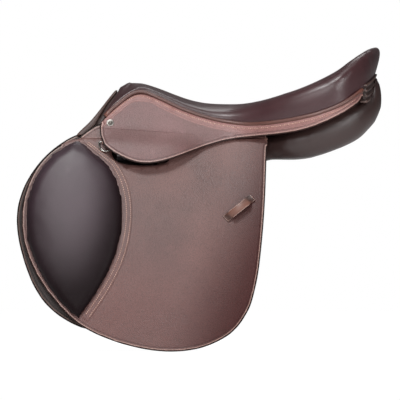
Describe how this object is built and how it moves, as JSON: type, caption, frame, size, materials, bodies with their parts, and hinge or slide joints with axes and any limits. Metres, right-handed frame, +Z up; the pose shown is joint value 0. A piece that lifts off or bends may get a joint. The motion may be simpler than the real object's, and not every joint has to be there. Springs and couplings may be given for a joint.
{
  "type": "jumping saddle",
  "caption": "English jumping saddle: deep seat on a sprung tree, fore-set flaps with knee pads, skirts, stirrup bars, girth straps, stuffed panels.",
  "frame": {"origin": "point on the middle plane between the flaps where the horse's back lies, 217 px across and 161 px down the picture, 171 mm behind the saddle nail and 61 mm below it", "axes": "+X towards the cantle (rear), +Y towards the saddle's right side, +Z up; the picture looks along +Y at the left side"},
  "size_m": [0.589, 0.4376, 0.485],
  "materials": {
    "seat_leather": "smooth calf, soft sheen",
    "flap_leather": "fine pebbled grain, low sheen",
    "pad_leather": "smooth calf, soft sheen",
    "panel_leather": "smooth calf, soft sheen",
    "sweat_leather": "firm waxed leather",
    "facing_leather": "smooth calf",
    "lining_leather": "thin smooth leather",
    "welt_leather": "smooth calf over cord",
    "strap_leather": "firm bridle leather",
    "foam": "open cell foam",
    "wood": "laminated beech, sealed",
    "spring_steel": "blued spring steel",
    "webbing": "plain woven flax webbing",
    "bar_steel": "forged, polished",
    "nickel": "bright plated"
  },
  "bodies": {
    "saddle": {"seat_cover": "seat_leather", "seat_foam": "foam", "tree_head": "wood", "gullet_plate": "spring_steel", "tree_rails": "wood", "seat_web": "webbing", "girth_web_front": "webbing", "girth_web_rear": "webbing", "gullet_lining": "lining_leather", "head_facing": "facing_leather", "cantle_facing": "facing_leather", "tree_spring_left": "spring_steel", "tree_spring_right": "spring_steel", "welt_left": "welt_leather", "welt_right": "welt_leather", "skirt_left": "flap_leather", "skirt_right": "flap_leather", "flap_top_left": "flap_leather", "flap_top_right": "flap_leather", "sweat_flap_left": "sweat_leather", "sweat_flap_right": "sweat_leather", "lower_panel_left": "panel_leather", "lower_panel_right": "panel_leather", "panel_left": "panel_leather", "panel_right": "panel_leather", "stirrup_bar_left": "bar_steel", "stirrup_bar_right": "bar_steel", "bar_rivet_1_left": "bar_steel", "bar_rivet_1_right": "bar_steel", "bar_rivet_2_left": "bar_steel", "bar_rivet_2_right": "bar_steel", "saddle_nail_left": "nickel", "saddle_nail_right": "nickel"},
    "flap_left": {"flap_left": "flap_leather", "knee_pad_left": "pad_leather", "keeper_left": "flap_leather", "dee_tab_left": "flap_leather"},
    "skirt_lobe_left": {"skirt_lobe_left": "flap_leather"},
    "dee_left": {"dee_left": "nickel"},
    "catch_left": {"catch_left": "bar_steel"},
    "girth_straps_left": {"girth_strap_1_left": "strap_leather", "girth_strap_2_left": "strap_leather", "girth_strap_3_left": "strap_leather"},
    "buckle_guard_left": {"buckle_guard_left": "sweat_leather"},
    "flap_right": {"flap_right": "flap_leather", "knee_pad_right": "pad_leather", "keeper_right": "flap_leather", "dee_tab_right": "flap_leather"},
    "skirt_lobe_right": {"skirt_lobe_right": "flap_leather"},
    "dee_right": {"dee_right": "nickel"},
    "catch_right": {"catch_right": "bar_steel"},
    "girth_straps_right": {"girth_strap_1_right": "strap_leather", "girth_strap_2_right": "strap_leather", "girth_strap_3_right": "strap_leather"},
    "buckle_guard_right": {"buckle_guard_right": "sweat_leather"}
  },
  "joints": [
    {"name": "flap_left_lift", "type": "hinge", "parent": "saddle", "child": "flap_left", "pos_m": [-0.188, -0.09502, 0.0544], "axis": [-0.9961, 0.0551, 0.0694], "range_deg": [0, 75]},
    {"name": "skirt_lobe_left_lift", "type": "hinge", "parent": "flap_left", "child": "skirt_lobe_left", "pos_m": [-0.188, -0.09502, 0.0544], "axis": [-0.9961, 0.0551, 0.0694], "range_deg": [0, 70]},
    {"name": "dee_left_swing", "type": "hinge", "parent": "flap_left", "child": "dee_left", "pos_m": [-0.178, -0.10391, 0.03073], "axis": [-0.9999, 0.0128, 0], "range_deg": [0, 20]},
    {"name": "catch_left_turn", "type": "hinge", "parent": "saddle", "child": "catch_left", "pos_m": [-0.096, -0.11761, 0.01112], "axis": [0, -0.9091, 0.4166], "range_deg": [0, 80]},
    {"name": "girth_straps_left_swing", "type": "hinge", "parent": "saddle", "child": "girth_straps_left", "pos_m": [-0.046, -0.08339, 0.043], "axis": [0, -0.9003, 0.4352], "range_deg": [-10, 10]},
    {"name": "buckle_guard_left_slide", "type": "slide", "parent": "girth_straps_left", "child": "buckle_guard_left", "axis": [0, 0.3585, 0.9335], "range_m": [0, 0.02]},
    {"name": "flap_right_lift", "type": "hinge", "parent": "saddle", "child": "flap_right", "pos_m": [-0.188, 0.09502, 0.0544], "axis": [0.9961, 0.0551, -0.0694], "range_deg": [0, 75]},
    {"name": "skirt_lobe_right_lift", "type": "hinge", "parent": "flap_right", "child": "skirt_lobe_right", "pos_m": [-0.188, 0.09502, 0.0544], "axis": [0.9961, 0.0551, -0.0694], "range_deg": [0, 70]},
    {"name": "dee_right_swing", "type": "hinge", "parent": "flap_right", "child": "dee_right", "pos_m": [-0.178, 0.10391, 0.03073], "axis": [0.9999, 0.0128, 0], "range_deg": [0, 20]},
    {"name": "catch_right_turn", "type": "hinge", "parent": "saddle", "child": "catch_right", "pos_m": [-0.096, 0.11761, 0.01112], "axis": [0, -0.9091, -0.4166], "range_deg": [0, 80]},
    {"name": "girth_straps_right_swing", "type": "hinge", "parent": "saddle", "child": "girth_straps_right", "pos_m": [-0.046, 0.08339, 0.043], "axis": [0, -0.9003, -0.4352], "range_deg": [-10, 10]},
    {"name": "buckle_guard_right_slide", "type": "slide", "parent": "girth_straps_right", "child": "buckle_guard_right", "axis": [0, -0.3585, 0.9335], "range_m": [0, 0.02]}
  ]
}
